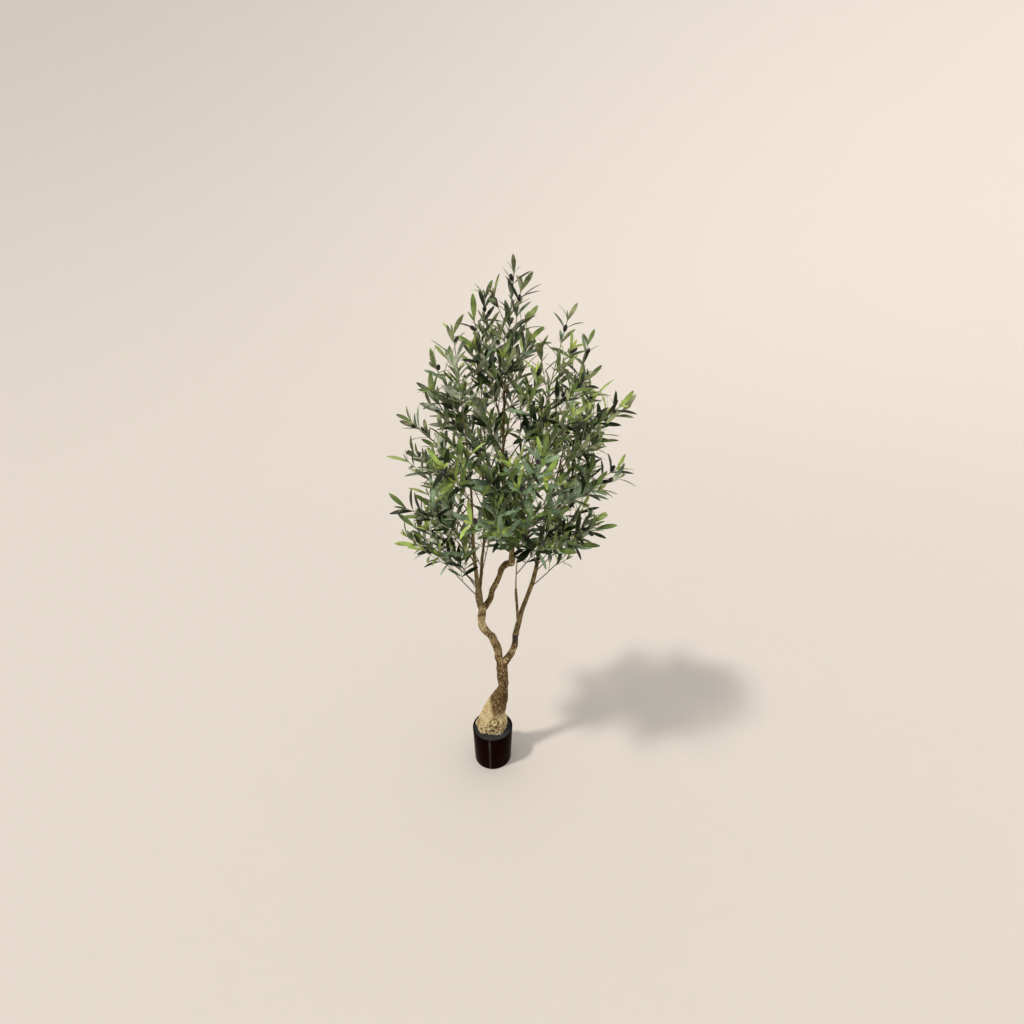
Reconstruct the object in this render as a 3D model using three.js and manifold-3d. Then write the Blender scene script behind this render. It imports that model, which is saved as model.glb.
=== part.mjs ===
// An artificial olive tree in a black nursery pot, 1.8 m tall.
// Millimetres, +Z up. The origin is the middle of the pot's underside, +X is to the
// viewer's right and +Y is away from the viewer.
import * as THREE from 'three';
import { mergeVertices } from 'three/addons/utils/BufferGeometryUtils.js';
import Module from 'manifold-3d';

const wasm = await Module();
wasm.setup();

// Driving dimensions
const clearance = 0.3; // gap wherever two pieces meet
const pot = { topRadius: 78, baseRadius: 72, height: 150, wall: 2.4, floor: 4, edge: 1.5, sides: 40 };
const fill = { recess: 8 }; // the cement stops this far below the rim
const groundLevel = pot.height - fill.recess + clearance; // the trunk's flat cut
const crown = {
  x: 70, y: 5, sway: 24, baseZ: 790, widestZ: 1230, topZ: 1800, radius: 378, lowPower: 2.2, topPower: 0.9,
};
const foot = { depthRatio: 0.74, lobes: 5, lobeDepth: 0.09 };
const spray = {
  seed: 45, baseRadius: 3, tipRadius: 1.7, sides: 4, steps: 4, arch: 0.04, leafless: 0.3,
  clear: 9, clearFrom: 0.2, nudge: 7, tries: 20, endStart: 0.985, highReach: 1.15, innerReach: 0.95,
};
const twig = {
  apart: 128, first: 0.36, last: 0.8, wander: 0.06, angle: 36, length: 0.36, shorter: 0.13, vary: 0.2,
  rootRadius: 1, radius: 1.6, leafless: 0.3, clear: 1.2,
};
const leaf = {
  length: 84, width: 22, widest: 0.42, thickness: 2, sunk: 1, spacing: 108, baseAngle: 52, tipAngle: 24,
  wander: 16, roll: 24, vary: 0.24, fan: 5, fanSize: 0.9, fanVary: 0.2, rows: 12, ball: 3.4, clear: 2,
};
const tipOverhang = { outAtSide: 0.6, outAtTop: 0.1, upAtSide: 0.6, upAtTop: 0.9 }; // in leaf lengths
const olive = { length: 18, width: 12.5, share: 0.84, angle: 80, offTwig: 5.2, outOf: 5, borne: 2 };
const cell = 24; // of the grid that taken space is kept in
const sliver = 0.03; // joined faces are tidied to this
const goldenAngle = 137.508;
const goldenShare = 0.618034;
const sideOrder = [0, 2, 1, 3]; // quarter turns round a stem at which its side twigs fork off

// Each limb runs through its waypoints, [x, y, z, radius], and is cut clear of the limbs that carry it.
const limbs = {
  trunk: {
    path: [[-4, 5, 112, 68], [-2, 5, 142, 63], [4, 6, 197, 48], [9, 8, 233, 38], [23, 10, 268, 32],
      [38, 12, 303, 23.5], [43, 12, 325, 19.5], [41, 10, 377, 19.5], [38, 8, 418, 20.5], [35, 6, 455, 14]],
    sides: 14, steps: 15, root: true, clearOf: [],
  },
  stem_lower: {
    path: [[34, 6, 430, 14], [27, 5, 465, 14.2], [23, 2, 504, 14.8], [15, -4, 539, 14.6],
      [5, -9, 568, 13.8], [-13, -14, 591, 13], [-28, -18, 616, 13.4], [-32, -18, 644, 13.5],
      [-29, -13, 672, 13.6], [-26, -8, 702, 9.5]],
    sides: 9, steps: 14, clearOf: ['trunk'],
  },
  stem_upper: {
    path: [[-26, -9, 682, 11], [-10, -4, 706, 11.2], [2, 3, 728, 10.4], [7, 8, 750, 11], [20, 14, 777, 9.9],
      [33, 20, 806, 10.3], [42, 24, 830, 11], [58, 26, 845, 10.6], [79, 26, 850, 10]],
    sides: 8, steps: 12, clearOf: ['stem_lower'],
  },
  leader: {
    path: [[73, 26, 846, 8.4], [76, 24, 899, 8.2], [59, 16, 1013, 7.5], [49, 3, 1180, 6.6],
      [50, -3, 1330, 5.6], [56, -6, 1480, 4.2]],
    sides: 8, steps: 10, clearOf: ['stem_upper'],
  },
  left_bough: {
    path: [[-30, -9, 686, 9.4], [-37, -14, 716, 10], [-39, -20, 747, 10.2], [-39, -27, 782, 7.4]],
    sides: 8, steps: 7, clearOf: ['stem_lower', 'stem_upper'],
  },
  left_outer: {
    path: [[-40, -28, 770, 6.2], [-45, -35, 840, 6], [-50, -46, 930, 6.3], [-51, -56, 1008, 5.8],
      [-50, -80, 1165, 4.6], [-58, -100, 1308, 3.4]],
    sides: 7, steps: 9, clearOf: ['left_bough'],
  },
  left_inner: {
    path: [[-36, -24, 768, 5], [-30, 2, 820, 5.2], [-28, 24, 864, 5], [-22, 48, 915, 4.6],
      [-21, 90, 1059, 4.2], [-33, 120, 1228, 3.3]],
    sides: 7, steps: 9, clearOf: ['left_bough', 'left_outer'],
  },
  right_stub: {
    path: [[40, 7, 434, 12.5], [58, 10, 458, 14.3], [74, 14, 480, 14], [84, 18, 505, 12],
      [88, 22, 533, 9.6], [88, 24, 553, 9.4]],
    sides: 9, steps: 9, clearOf: ['trunk', 'stem_lower'],
  },
  right_bough: {
    path: [[88, 24, 548, 9], [97, 26, 588, 9], [111, 30, 650, 7.9], [126, 34, 694, 7.7],
      [149, 44, 760, 8.2], [162, 54, 812, 8], [186, 80, 950, 6.8], [229, 110, 1125, 5],
      [256, 126, 1250, 3.6]],
    sides: 8, steps: 14, clearOf: ['right_stub'],
  },
  right_upright: {
    path: [[99, 26, 604, 4.8], [93, 8, 700, 4.6], [90, -6, 759, 4.4], [91, -26, 845, 3.6],
      [102, -70, 1012, 3.2], [124, -110, 1190, 2.9]],
    sides: 7, steps: 9, clearOf: ['right_bough'],
  },
};

// How each bough is clothed: the number of its side sprays, the share of its length that they start
// along, the height that the lowest and the highest reach, the way that they face round the crown and
// how widely they spread, in degrees, and how far out the lowest reaches. The end spray has its own two.
const clothed = {
  left_outer: {
    sprays: 7, from: 0.05, to: 0.9, lowTip: 1010, highTip: 1470, faces: 190, spread: 100, lowReach: 1,
    endTip: 1635, endFaces: 185,
  },
  left_inner: {
    sprays: 5, from: 0.16, to: 0.9, lowTip: 930, highTip: 1560, faces: 130, spread: 120, lowReach: 1,
    endTip: 1735, endFaces: 175,
  },
  right_bough: {
    sprays: 7, from: 0.36, to: 0.9, lowTip: 1020, highTip: 1450, faces: 10, spread: 110, lowReach: 1,
    endTip: 1605, endFaces: 5,
  },
  right_upright: {
    sprays: 6, from: 0.5, to: 0.9, lowTip: 1070, highTip: 1520, faces: 300, spread: 120, lowReach: 0.9,
    endTip: 1675, endFaces: 345,
  },
  leader: {
    sprays: 9, from: 0.16, to: 0.8, lowTip: 1080, highTip: 1755, faces: -20, spread: 360, lowReach: 0.5,
    endTip: 1800, endFaces: 180,
  },
};

// Finishes
const finishes = {
  pot: new THREE.MeshStandardMaterial({ color: '#0d0808', roughness: 0.22, metalness: 0 }),
  cement: new THREE.MeshStandardMaterial({ color: '#37383a', roughness: 0.9, metalness: 0 }),
  bark: new THREE.MeshStandardMaterial({ color: '#8a7446', roughness: 0.8, metalness: 0 }),
  foliage: new THREE.MeshStandardMaterial({ color: '#3f5a35', roughness: 0.6, metalness: 0 }),
};

// Solids and meshes
function toSolid(geometry) {
  const bare = geometry.clone();
  bare.deleteAttribute('normal');
  bare.deleteAttribute('uv');
  const welded = mergeVertices(bare, 1e-4);
  return new wasm.Manifold(new wasm.Mesh({
    numProp: 3,
    vertProperties: welded.attributes.position.array,
    triVerts: new Uint32Array(welded.index.array),
  }));
}

function toGeometry(solid) {
  const { vertProperties, triVerts } = solid.getMesh();
  const geometry = new THREE.BufferGeometry();
  geometry.setAttribute('position', new THREE.BufferAttribute(vertProperties, 3));
  geometry.setIndex(new THREE.BufferAttribute(triVerts, 1));
  geometry.computeVertexNormals();
  return geometry;
}

function namedMesh(name, geometry, finish) {
  const mesh = new THREE.Mesh(geometry, finish);
  mesh.name = name;
  return mesh;
}

// The largest of a solid's separate bodies, which drops any scrap that a cut leaves
function mainBody(solid) {
  const bodies = solid.decompose();
  return bodies.reduce((best, body) => (body.volume() > best.volume() ? body : best));
}

// A repeatable stream of numbers from 0 to 1
function seeded(seed) {
  const modulus = 2147483647;
  let state = (seed * 7919 + 104729) % modulus;
  return () => {
    state = (state * 16807) % modulus;
    return state / modulus;
  };
}

const lerp = THREE.MathUtils.lerp;
const radians = THREE.MathUtils.degToRad;
const up = new THREE.Vector3(0, 0, 1);

// Directions along and across a curve, those across turned round it by some degrees
function frameAt(curve, share, turn = 0) {
  const chord = curve.getPointAt(1).sub(curve.getPointAt(0));
  const side = new THREE.Vector3(...(Math.abs(chord.x) < Math.abs(chord.y) ? [1, 0, 0] : [0, 1, 0]));
  const tangent = curve.getTangentAt(share);
  const normal = side.addScaledVector(tangent, -side.dot(tangent)).normalize();
  normal.applyAxisAngle(tangent, radians(turn));
  return { tangent, normal, binormal: new THREE.Vector3().crossVectors(tangent, normal) };
}

// A direction at an angle to the curve, rolled round it from the frame's normal
function leaning({ tangent, normal, binormal }, angle, roll) {
  const across = normal.clone().multiplyScalar(Math.cos(radians(roll)));
  across.addScaledVector(binormal, Math.sin(radians(roll)));
  const along = tangent.clone().multiplyScalar(Math.cos(radians(angle)));
  return along.addScaledVector(across, Math.sin(radians(angle)));
}

// A bar bent along a curve. offsetAt gives a corner's distance from the curve, for the share of the
// length and the angle round the bar, and grow adds to it and to both ends.
function bentBar(curve, offsetAt, { sides, steps, turn = 0, grow = 0, depthRatioAt = () => 1 }) {
  const geometry = new THREE.CylinderGeometry(1, 1, 1, sides, steps);
  const frames = Array.from({ length: steps + 1 }, (_, step) => frameAt(curve, step / steps, turn));
  const position = geometry.attributes.position;
  const corner = new THREE.Vector3();
  for (let i = 0; i < position.count; i += 1) {
    corner.fromBufferAttribute(position, i);
    const step = Math.round((corner.y + 0.5) * steps);
    const share = step / steps;
    const { tangent, normal, binormal } = frames[step];
    const onAxis = Math.hypot(corner.x, corner.z) < 0.5;
    const reach = onAxis ? 0 : offsetAt(share, Math.atan2(corner.x, corner.z)) + grow;
    const out = normal.clone().multiplyScalar(corner.z).addScaledVector(binormal, corner.x);
    out.y *= depthRatioAt(share);
    const place = curve.getPointAt(share).addScaledVector(out, reach);
    place.addScaledVector(tangent, grow * ((step === steps) - (step === 0)));
    position.setXYZ(i, place.x, place.y, place.z);
  }
  return geometry;
}

// Pot and its fill
function potGeometry() {
  const inner = pot.topRadius - pot.wall;
  const innerFoot = pot.baseRadius - pot.wall;
  const profile = [
    [0, 0], [pot.baseRadius - pot.edge, 0], [pot.baseRadius, pot.edge],
    [pot.topRadius, pot.height - pot.edge / 2], [pot.topRadius - pot.edge / 2, pot.height],
    [inner, pot.height], [innerFoot, pot.floor], [0, pot.floor],
  ];
  const points = profile.map(([radius, z]) => new THREE.Vector2(radius, z));
  return new THREE.LatheGeometry(points, pot.sides).rotateX(Math.PI / 2);
}

function fillGeometry() {
  const height = pot.height - fill.recess - pot.floor - clearance;
  const slope = (pot.topRadius - pot.baseRadius) / (pot.height - pot.floor);
  const footRadius = pot.baseRadius - pot.wall - 2 * clearance;
  const points = [[0, 0], [footRadius, 0], [footRadius + slope * height, height], [0, height]];
  const profile = points.map(([radius, z]) => new THREE.Vector2(radius, z));
  return new THREE.LatheGeometry(profile, pot.sides).rotateX(Math.PI / 2);
}

// Trunk and boughs
function limbCurve(name) {
  return new THREE.CatmullRomCurve3(limbs[name].path.map(([x, y, z]) => new THREE.Vector3(x, y, z)));
}

function limbRadius(name, curve, share) {
  const { path } = limbs[name];
  const place = curve.getUtoTmapping(share) * (path.length - 1);
  const before = Math.min(Math.floor(place), path.length - 2);
  return lerp(path[before][3], path[before + 1][3], place - before);
}

function limbSolid(name, grow = 0) {
  const { sides, steps, root } = limbs[name];
  const curve = limbCurve(name);
  const lobeDepth = root ? foot.lobeDepth : 0;
  const lobe = (share, angle) => lobeDepth * (1 - share) ** 3 * Math.cos(foot.lobes * angle);
  const offsetAt = (share, angle) => limbRadius(name, curve, share) * (1 + lobe(share, angle));
  const depthRatioAt = (share) => (root ? lerp(foot.depthRatio, 1, Math.min(1, 2 * share)) : 1);
  return toSolid(bentBar(curve, offsetAt, { sides, steps, grow, depthRatioAt }));
}

function finishedLimb(name) {
  const { root, clearOf } = limbs[name];
  let solid = limbSolid(name);
  if (root) {
    const size = 4 * pot.topRadius;
    const ground = new THREE.BoxGeometry(size, size, size).translate(0, 0, groundLevel - size / 2);
    solid = solid.subtract(toSolid(ground));
  }
  for (const carrier of clearOf) solid = solid.subtract(limbSolid(carrier, clearance));
  return mainBody(solid);
}

// The space that pieces take up, as balls in a grid, so that foliage can keep clear of its neighbours
class TakenSpace {
  constructor() {
    this.grid = new Map();
  }

  cellOf(centre) {
    return centre.toArray().map((v) => Math.floor(v / cell));
  }

  keyOf(x, y, z) {
    return `${x},${y},${z}`;
  }

  add(balls, owner) {
    for (const ball of balls) {
      const key = this.keyOf(...this.cellOf(ball.centre));
      if (!this.grid.has(key)) this.grid.set(key, []);
      this.grid.get(key).push({ ...ball, owner });
    }
  }

  isClear(balls, owner, gap) {
    return balls.every(({ centre, radius }) => {
      const [cx, cy, cz] = this.cellOf(centre);
      for (let x = cx - 1; x <= cx + 1; x += 1) {
        for (let y = cy - 1; y <= cy + 1; y += 1) {
          for (let z = cz - 1; z <= cz + 1; z += 1) {
            const near = this.grid.get(this.keyOf(x, y, z)) || [];
            const hit = near.some((ball) => ball.owner !== owner
              && ball.centre.distanceTo(centre) < ball.radius + radius + gap);
            if (hit) return false;
          }
        }
      }
      return true;
    });
  }
}

function ballsAlong(curve, radiusAt, from, to, apart) {
  const count = Math.max(2, Math.ceil((curve.getLength() * (to - from)) / apart));
  return Array.from({ length: count + 1 }, (_, i) => {
    const share = lerp(from, to, i / count);
    return { centre: curve.getPointAt(share), radius: radiusAt(share) };
  });
}

// Crown
function crownRadius(z) {
  if (z < crown.widestZ) {
    const below = Math.min(1, (crown.widestZ - z) / (crown.widestZ - crown.baseZ));
    return crown.radius * (1 - below ** crown.lowPower) ** (1 / crown.lowPower);
  }
  return crown.radius * Math.max(0, 1 - crownRise(z) ** 2) ** crown.topPower;
}

// How far a height is from the crown's widest level, up to 1 at its top
function crownRise(z) {
  return (z - crown.widestZ) / (crown.topZ - crown.widestZ);
}

// The stem of a spray, from its bough to the crown's surface, short of it by the leaves at its tip,
// which point outwards at the crown's sides and upwards near its top
function sprayCurve(start, leaving, tipZ, azimuth, reach) {
  const rise = crownRise(tipZ);
  const upright = Math.max(0, rise);
  const outwards = leaf.length * lerp(tipOverhang.outAtSide, tipOverhang.outAtTop, upright);
  const upwards = leaf.length * lerp(tipOverhang.upAtSide, tipOverhang.upAtTop, upright);
  const radius = crownRadius(tipZ) * reach - outwards;
  const tip = new THREE.Vector3(
    crown.x + crown.sway * Math.sin(Math.PI * rise) + radius * Math.cos(radians(azimuth)),
    crown.y + radius * Math.sin(radians(azimuth)),
    tipZ - upwards,
  );
  const sag = spray.arch * start.distanceTo(tip);
  const bend = start.clone().lerp(tip, 0.5).addScaledVector(up, sag).addScaledVector(leaving, sag);
  return new THREE.QuadraticBezierCurve3(start, bend, tip);
}

// Turns a spray a little further round until its stem passes clear of what is already there
function firstClearStem(taken, owner, stemAt) {
  for (let tries = 0; ; tries += 1) {
    const nudge = spray.nudge * Math.ceil(tries / 2) * (tries % 2 ? 1 : -1);
    const stem = stemAt(nudge);
    const balls = ballsAlong(stem, () => spray.baseRadius, spray.clearFrom, 1, 2 * spray.baseRadius);
    if (taken.isClear(balls, owner, spray.clear) || tries === spray.tries) {
      taken.add(ballsAlong(stem, () => spray.baseRadius, 0, 1, 2 * spray.baseRadius), owner);
      return stem;
    }
  }
}

// All sprays of the tree: side sprays set round each bough by the golden ratio, and one on its end
function planSprays(taken) {
  const planned = [];
  for (const [bough, row] of Object.entries(clothed)) {
    const curve = limbCurve(bough);
    for (let i = 0; i <= row.sprays; i += 1) {
      const atEnd = i === row.sprays;
      const rise = i / (row.sprays - 1);
      const share = atEnd ? spray.endStart : lerp(row.from, row.to, rise);
      const tipZ = atEnd ? row.endTip : lerp(row.lowTip, row.highTip, rise);
      const inSector = row.spread * (((0.5 + i * goldenShare) % 1) - 0.5);
      const turn = row.spread === 360 ? i * goldenAngle : inSector;
      const azimuth = atEnd ? row.endFaces : row.faces + turn;
      const sideReach = Math.min(1, lerp(row.lowReach, spray.highReach, rise));
      const reach = atEnd ? 1 : sideReach * (i % 2 ? spray.innerReach : 1);
      const start = curve.getPointAt(share);
      const leaving = curve.getTangentAt(share);
      const stemAt = (nudge) => sprayCurve(start, leaving, tipZ, azimuth + nudge, reach);
      const owner = planned.length;
      const stem = firstClearStem(taken, owner, stemAt);
      planned.push({ name: `spray_${bough}_${atEnd ? 'end' : i + 1}`, bough, stem, owner });
    }
  }
  return planned;
}

// What bears the leaves of a spray: its stem and the side twigs that fork off it to each side in turn
function growBearers({ stem, owner }, random, taken) {
  const stemLength = stem.getLength();
  const stemTurn = 90 * random();
  const firstSide = Math.floor(4 * random());
  const bearers = [{ curve: stem, turn: stemTurn, leafless: spray.leafless }];
  const count = Math.max(2, Math.round(stemLength / twig.apart));
  for (let k = 0; k < count; k += 1) {
    const rise = k / (count - 1);
    const share = lerp(twig.first, twig.last, rise) + twig.wander * (random() - 0.5);
    const vary = 1 + twig.vary * (random() - 0.5);
    const length = stemLength * (twig.length - twig.shorter * rise) * vary;
    const start = stem.getPointAt(share);
    const roll = 45 + 90 * sideOrder[(k + firstSide) % 4];
    const out = leaning(frameAt(stem, share, stemTurn), twig.angle, roll);
    const curve = new THREE.LineCurve3(start, start.clone().addScaledVector(out, length));
    const balls = ballsAlong(curve, () => twig.radius, 0, 1, 3 * twig.radius);
    const turn = 90 * random();
    if (!taken.isClear(balls, owner, twig.clear)) continue;
    taken.add(balls, owner);
    bearers.push({ curve, turn, leafless: twig.leafless });
  }
  return bearers;
}

// Places for the leaves of one twig: pairs, each a quarter turn round from the last, and a fan at the tip
function leafPlaces({ curve, leafless }, random) {
  const places = [];
  const length = curve.getLength();
  const pairs = Math.max(1, Math.round((length * (1 - leafless)) / leaf.spacing));
  for (let pair = 0; pair < pairs; pair += 1) {
    const share = leafless + ((1 - leafless) * (pair + 0.35)) / pairs;
    for (const side of [0, 180]) {
      const roll = 45 + 90 * pair + side + leaf.roll * (random() - 0.5);
      const angle = lerp(leaf.baseAngle, leaf.tipAngle, share * share) + leaf.wander * (random() - 0.5);
      places.push({ share, roll, angle, size: 1 + leaf.vary * (random() - 0.5) });
    }
  }
  for (const side of [0, 180]) {
    const roll = 45 + 90 * pairs + side;
    const size = leaf.fanSize + leaf.fanVary * (random() - 0.5);
    places.push({ share: 1 - leaf.fan / length, roll, angle: leaf.tipAngle, size });
  }
  return places;
}

// A leaf blade, a thin three-edged spindle with its root at the origin and its tip along +Y
function leafGeometry() {
  const geometry = new THREE.SphereGeometry(1, 3, 2);
  const position = geometry.attributes.position;
  for (let i = 0; i < position.count; i += 1) {
    const row = Math.round(position.getY(i)) + 1;
    const across = row === 1 ? Math.sign(Math.round(2 * position.getZ(i))) * 0.5 * leaf.width : 0;
    const lift = row === 1 ? (across ? -0.4 : 0.6) * leaf.thickness : 0;
    position.setXYZ(i, across, [0, leaf.widest, 1][row] * leaf.length, lift);
  }
  return geometry;
}
const leafBlank = leafGeometry();

function leafMatrix({ curve, turn }, { share, roll, angle, size }) {
  const frame = frameAt(curve, share, turn);
  const { tangent } = frame;
  const along = leaning(frame, angle, roll);
  const face = tangent.clone().addScaledVector(along, -tangent.dot(along)).normalize();
  const across = new THREE.Vector3().crossVectors(along, face);
  const root = curve.getPointAt(share).addScaledVector(along, -leaf.sunk);
  const scale = new THREE.Vector3(size, size, size);
  return new THREE.Matrix4().makeBasis(across, along, face).scale(scale).setPosition(root);
}

// Balls that cover a leaf's blade from some way along it to its tip, in rows across it
function leafBalls(matrix, from) {
  const balls = [];
  for (let row = 0; row <= leaf.rows; row += 1) {
    const share = lerp(from, 1, row / leaf.rows);
    const halfWidth = (leaf.width / 2) * Math.min(share / leaf.widest, (1 - share) / (1 - leaf.widest));
    for (const side of halfWidth > leaf.ball ? [-1, 0, 1] : [0]) {
      const centre = new THREE.Vector3(side * (halfWidth - 2), share * leaf.length, 0).applyMatrix4(matrix);
      balls.push({ centre, radius: leaf.ball });
    }
  }
  return balls;
}

// An olive that sits against the twig near its tip
function oliveOn({ curve, turn }, roll) {
  const frame = frameAt(curve, olive.share, turn);
  const out = leaning(frame, olive.angle, roll);
  const centre = curve.getPointAt(olive.share).addScaledVector(out, olive.offTwig);
  const lie = new THREE.Quaternion().setFromUnitVectors(new THREE.Vector3(0, 1, 0), frame.tangent);
  const scale = new THREE.Vector3(olive.width / 2, olive.length / 2, olive.width / 2);
  const geometry = new THREE.IcosahedronGeometry(1, 0);
  geometry.applyMatrix4(new THREE.Matrix4().compose(centre, lie, scale));
  return { geometry, balls: [{ centre, radius: 0.55 * olive.length }] };
}

// Foliage: one solid for each spray, its stem, twigs, leaves and olive fused
function growFoliage() {
  const taken = new TakenSpace();
  for (const name of Object.keys(limbs)) {
    const curve = limbCurve(name);
    taken.add(ballsAlong(curve, (share) => limbRadius(name, curve, share), 0, 1, 5), name);
  }
  const planned = planSprays(taken);
  const streams = planned.map(({ owner }) => seeded(spray.seed + owner));
  const bearers = planned.map((plan, i) => growBearers(plan, streams[i], taken));
  const olives = planned.map(({ owner }, i) => {
    const made = oliveOn(bearers[i][0], 360 * streams[i]());
    const fits = i % olive.outOf < olive.borne && taken.isClear(made.balls, owner, twig.clear);
    if (fits) taken.add(made.balls, owner);
    return fits ? [made] : [];
  });
  return planned.map((plan, i) => {
    const own = new TakenSpace();
    for (const { curve } of bearers[i]) {
      own.add(ballsAlong(curve, () => twig.radius, 0.15, 1, 3 * twig.radius));
    }
    for (const { balls } of olives[i]) own.add(balls);
    const blades = [];
    for (const bearer of bearers[i]) {
      for (const place of leafPlaces(bearer, streams[i])) {
        const matrix = leafMatrix(bearer, place);
        const balls = leafBalls(matrix, 0.1);
        const outer = leafBalls(matrix, 0.3);
        if (!taken.isClear(balls, plan.owner, leaf.clear) || !own.isClear(outer, 'new', 0)) continue;
        taken.add(balls, plan.owner);
        own.add(outer);
        blades.push(leafBlank.clone().applyMatrix4(matrix));
      }
    }
    return { ...plan, bearers: bearers[i], fruit: olives[i].map(({ geometry }) => geometry), blades };
  });
}

function spraySolid({ bough, bearers, fruit, blades }) {
  const [stem, ...twigs] = bearers;
  const thinning = (share) => lerp(spray.baseRadius, spray.tipRadius, share);
  const { sides, steps } = spray;
  const stemBar = bentBar(stem.curve, thinning, { sides, steps, turn: stem.turn });
  const cutStem = mainBody(toSolid(stemBar).subtract(limbSolid(bough, clearance)));
  const thickening = (share) => lerp(twig.rootRadius, twig.radius, share);
  const twigBars = twigs.map(({ curve, turn }) => bentBar(curve, thickening, { sides, steps: 1, turn }));
  const pieces = [...twigBars, ...fruit, ...blades].map(toSolid);
  return mainBody(wasm.Manifold.union([cutStem, ...pieces]).simplify(sliver));
}

// The tree
const tree = new THREE.Group();

const potted = new THREE.Group();
potted.add(namedMesh('pot', potGeometry(), finishes.pot));
const cement = namedMesh('pot_fill', fillGeometry(), finishes.cement);
cement.position.z = pot.floor + clearance;
potted.add(cement);
tree.add(potted);

const woody = new THREE.Group();
for (const name of Object.keys(limbs)) {
  woody.add(namedMesh(name, toGeometry(finishedLimb(name)), finishes.bark));
}
tree.add(woody);

const leafy = new THREE.Group();
for (const grown of growFoliage()) {
  leafy.add(namedMesh(grown.name, toGeometry(spraySolid(grown)), finishes.foliage));
}
tree.add(leafy);

export default tree;
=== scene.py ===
import math
import bpy
import numpy as np
from mathutils import Matrix, Vector


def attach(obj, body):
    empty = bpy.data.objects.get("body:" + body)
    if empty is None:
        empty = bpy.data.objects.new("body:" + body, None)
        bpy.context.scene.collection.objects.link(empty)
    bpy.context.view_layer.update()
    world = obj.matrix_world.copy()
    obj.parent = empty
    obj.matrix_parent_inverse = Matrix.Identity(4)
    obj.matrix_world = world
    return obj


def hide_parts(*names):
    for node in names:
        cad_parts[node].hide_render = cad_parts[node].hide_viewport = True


# An artificial olive tree in a black nursery pot. Sizes are in millimetres, in the frame's own axes.
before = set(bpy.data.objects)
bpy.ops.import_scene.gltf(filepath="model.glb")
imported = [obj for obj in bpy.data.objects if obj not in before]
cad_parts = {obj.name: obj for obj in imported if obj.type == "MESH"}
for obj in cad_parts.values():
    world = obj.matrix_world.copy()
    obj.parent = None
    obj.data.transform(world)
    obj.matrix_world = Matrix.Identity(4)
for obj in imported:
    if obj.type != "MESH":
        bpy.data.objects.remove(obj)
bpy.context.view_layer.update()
mm = 0.001
print("frame loaded:", len(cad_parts), "nodes")


# Small helpers for every piece

def linear(hexColour):  # sRGB hex to the linear colour that the shaders take
    values = [int(hexColour[i:i + 2], 16) / 255 for i in (1, 3, 5)]
    return (*[v / 12.92 if v <= 0.04045 else ((v + 0.055) / 1.055) ** 2.4 for v in values], 1.0)


def addNode(tree, kind, inputs=None, stops=(), **settings):  # a node with its settings, values and links
    made = tree.nodes.new(kind)
    for key, value in settings.items():
        setattr(made, key, value)
    for index, (at, colour) in enumerate(stops):  # of a colour ramp
        ramp = made.color_ramp.elements
        stop = ramp[index] if index < len(ramp) else ramp.new(at)
        stop.position = at
        stop.color = linear(colour)
    for socket, value in (inputs or {}).items():
        for each in value if isinstance(value, list) else [value]:
            if isinstance(each, bpy.types.Node):
                each = each.outputs[0]
            if isinstance(each, bpy.types.NodeSocket):
                tree.links.new(each, made.inputs[socket])
            else:
                made.inputs[socket].default_value = each
    return made


def newMaterial(name, **shaderValues):  # a material, its tree and shader, and the place on the piece
    material = bpy.data.materials.new(name)
    material.use_nodes = True
    tree = material.node_tree
    shader = tree.nodes["Principled BSDF"]
    for socket, value in shaderValues.items():
        shader.inputs[socket.replace("_", " ")].default_value = value
    return material, tree, shader, addNode(tree, "ShaderNodeTexCoord").outputs["Object"]


def giveColour(tree, shader, share, colours):  # from the first colour to the second by a share
    low, high = [linear(each) if isinstance(each, str) else each for each in colours]
    mix = addNode(tree, "ShaderNodeMix", {"Factor": share, 6: low, 7: high}, data_type="RGBA")
    tree.links.new(mix.outputs[2], shader.inputs["Base Color"])


noiseSpan = (0.3, 0.7)  # where most of a noise pattern lies


def giveGrain(tree, shader, pattern, depth, sheen):  # fine bumps and an uneven sheen from one pattern
    bump = addNode(tree, "ShaderNodeBump", {"Height": pattern, "Distance": depth * mm})
    rough = addNode(tree, "ShaderNodeMapRange", {
        "Value": pattern, 1: noiseSpan[0], 2: noiseSpan[1], 3: sheen[0], 4: sheen[1]})
    tree.links.new(bump.outputs[0], shader.inputs["Normal"])
    tree.links.new(rough.outputs[0], shader.inputs["Roughness"])


def makeBlotched(name, finish, colours, **shaderValues):  # two colours, bumps and sheen, all by one noise
    material, tree, shader, place = newMaterial(name, **shaderValues)
    blotch = addNode(tree, "ShaderNodeTexNoise", {
        "Vector": place, "Scale": 1 / (finish["blotch"] * mm), "Detail": finish["detail"],
        "Roughness": finish["uneven"]})
    giveColour(tree, shader, blotch, colours)
    giveGrain(tree, shader, blotch, finish["bump"], finish["sheen"])
    return material


def newTree(name, inputs):  # a geometry tree with named inputs, and the sockets that they come from
    tree = bpy.data.node_groups.new(name, "GeometryNodeTree")
    tree.interface.new_socket("Geometry", in_out="OUTPUT", socket_type="NodeSocketGeometry")
    for label, kind in {"Geometry": "Geometry", **inputs}.items():
        tree.interface.new_socket(label, in_out="INPUT", socket_type="NodeSocket" + kind)
    return tree, addNode(tree, "NodeGroupInput").outputs


def endTree(tree, geometry, material):  # smooth, realized and with its finish
    smooth = addNode(tree, "GeometryNodeSetShadeSmooth", {"Geometry": geometry})
    real = addNode(tree, "GeometryNodeRealizeInstances", {"Geometry": smooth})
    painted = addNode(tree, "GeometryNodeSetMaterial", {"Geometry": real, "Material": material})
    addNode(tree, "NodeGroupOutput", {"Geometry": painted})
    return tree


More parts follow.
